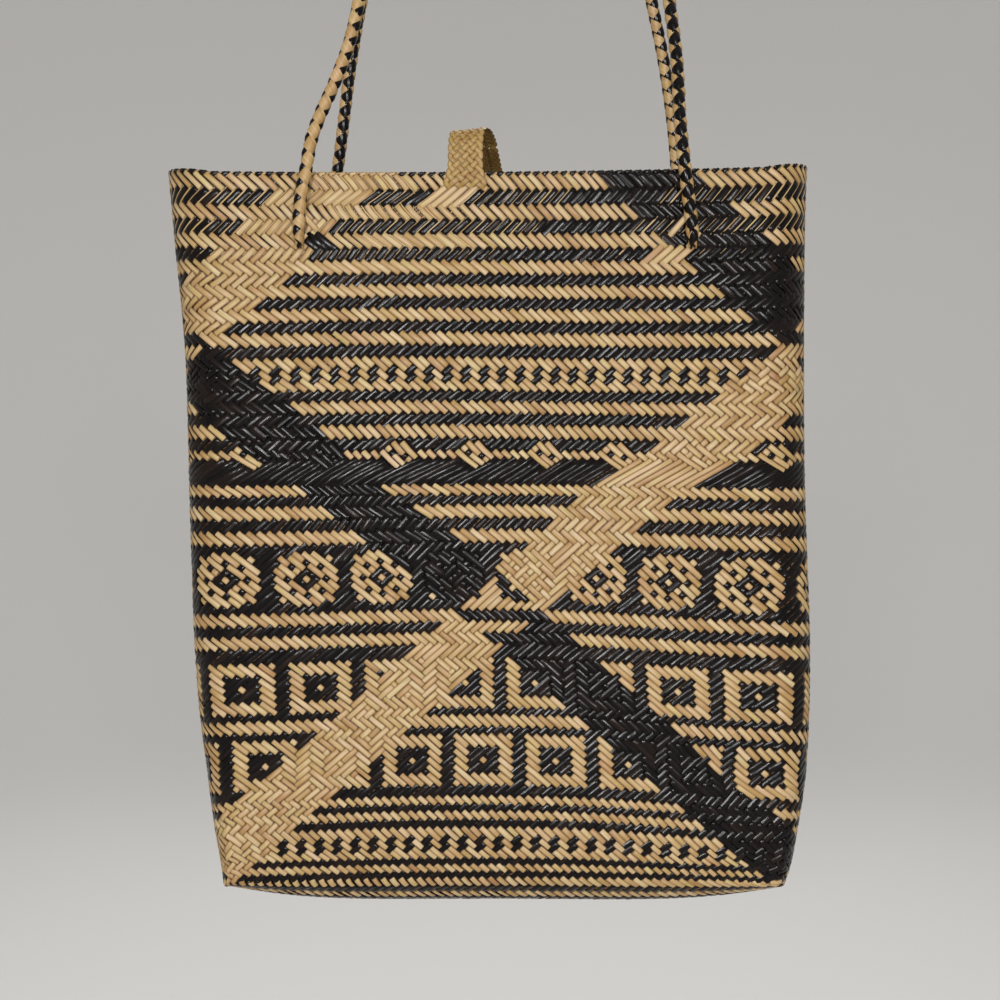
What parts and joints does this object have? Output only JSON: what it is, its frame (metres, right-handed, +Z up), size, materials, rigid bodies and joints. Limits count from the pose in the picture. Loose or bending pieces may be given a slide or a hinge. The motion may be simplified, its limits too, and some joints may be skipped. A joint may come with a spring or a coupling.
{
  "type": "plaited rattan shoulder bag",
  "caption": "Tall flat open-topped shoulder bag plaited on the bias from natural and black rattan splints, with a sagging base, a small loop over the mouth and a braided strap on each face.",
  "frame": {"origin": "the point where the tops of both straps rest on whatever the bag hangs from", "axes": "+Z up, +X to the right seen from the front, the front face looks towards -Y, bag hanging plumb"},
  "size_m": [0.3323, 0.0736, 0.709],
  "materials": {
    "natural_rattan": "split cane with its natural satin skin, straw to honey coloured",
    "black_rattan": "split cane dyed black, low gloss, braided with some natural strands in the straps"
  },
  "bodies": {
    "root": {"bag_body": "natural_rattan", "top_loop": "natural_rattan", "strap_front": "black_rattan", "strap_back": "black_rattan"}
  },
  "joints": []
}
